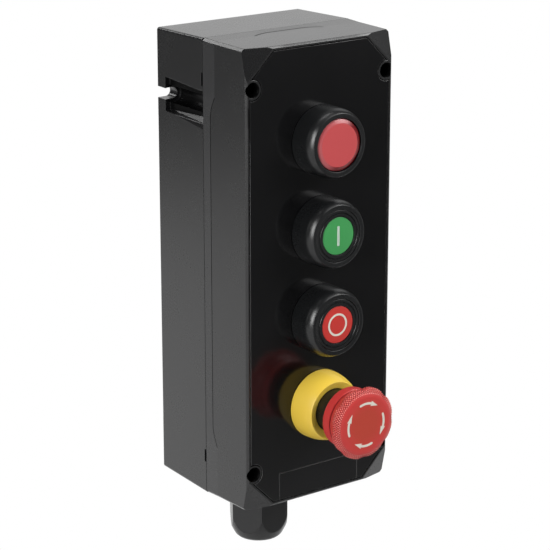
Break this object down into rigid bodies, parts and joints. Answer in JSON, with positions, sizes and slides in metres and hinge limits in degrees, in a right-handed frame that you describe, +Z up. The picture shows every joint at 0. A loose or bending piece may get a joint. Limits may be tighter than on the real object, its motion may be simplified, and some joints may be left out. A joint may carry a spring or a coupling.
{
  "type": "explosion-proof control station",
  "caption": "Wall-mounted moulded control station with an indicator lamp, start and stop push buttons, a twist-release emergency stop and a bottom cable gland.",
  "frame": {"origin": "centre of the wall face, on the rib down the back of the base", "axes": "+X right seen from the front, +Y into the wall, +Z up"},
  "size_m": [0.099, 0.1262, 0.3025],
  "materials": {
    "moulded_black": "fine moulded grain",
    "plate_black": "polished",
    "operator_black": "satin",
    "rubber_black": "matt",
    "bright_steel": "plain",
    "zinc": "zinc plated",
    "brass": "plain",
    "lens_red": "translucent lens",
    "led_white": "clear resin",
    "button_green": "satin",
    "button_red": "satin",
    "head_red": "satin",
    "collar_yellow": "satin",
    "element_grey": "moulded",
    "stem_white": "moulded"
  },
  "bodies": {
    "root": {"rear_housing": "moulded_black", "front_cover": "moulded_black", "cover_gasket": "rubber_black", "front_plate": "plate_black", "inscription_plate": "plate_black", "cover_screw_1": "bright_steel", "cover_screw_2": "bright_steel", "cover_screw_3": "bright_steel", "cover_screw_4": "bright_steel", "lamp_collar": "operator_black", "lamp_seal": "rubber_black", "lamp_lens": "lens_red", "lamp_led": "led_white", "lamp_block": "element_grey", "lamp_lock_nut": "zinc", "start_collar": "operator_black", "start_seal": "rubber_black", "start_spring": "bright_steel", "start_lock_nut": "zinc", "start_contact_block": "element_grey", "stop_collar": "operator_black", "stop_seal": "rubber_black", "stop_spring": "bright_steel", "stop_lock_nut": "zinc", "stop_contact_block": "element_grey", "estop_collar": "collar_yellow", "estop_seal": "rubber_black", "estop_sleeve": "operator_black", "estop_spring": "bright_steel", "estop_lock_nut": "zinc", "estop_contact_block": "element_grey", "terminal_rail": "zinc", "rail_screw_1": "bright_steel", "rail_screw_2": "bright_steel", "terminal_1": "element_grey", "terminal_2": "element_grey", "terminal_3": "element_grey", "terminal_4": "element_grey", "earth_bar": "brass", "earth_screw": "brass", "gland_body": "operator_black", "gland_washer": "rubber_black", "gland_lock_nut": "operator_black", "gland_seal": "rubber_black", "gland_cap_nut": "operator_black"},
    "start_button": {"start_cap": "operator_black", "start_insert": "button_green", "start_stem": "stem_white"},
    "stop_button": {"stop_cap": "operator_black", "stop_insert": "button_red", "stop_stem": "stem_white"},
    "estop_plunger": {"estop_stem": "zinc"},
    "estop_knob": {"estop_head": "head_red", "estop_skirt": "head_red"}
  },
  "joints": [
    {"name": "start_push", "type": "slide", "parent": "root", "child": "start_button", "axis": [0, 1, 0], "range_m": [0, 0.004], "stiffness_N_per_m": 600, "deforming": ["start_spring"]},
    {"name": "stop_push", "type": "slide", "parent": "root", "child": "stop_button", "axis": [0, 1, 0], "range_m": [0, 0.004], "stiffness_N_per_m": 600, "deforming": ["stop_spring"]},
    {"name": "estop_push", "type": "slide", "parent": "root", "child": "estop_plunger", "axis": [0, 1, 0], "range_m": [0, 0.006], "deforming": ["estop_spring"]},
    {"name": "estop_twist", "type": "hinge", "parent": "estop_plunger", "child": "estop_knob", "pos_m": [0, -0.0842, -0.075], "axis": [0, 1, 0], "range_deg": [0, 45], "stiffness_Nm_per_rad": 0.05}
  ]
}
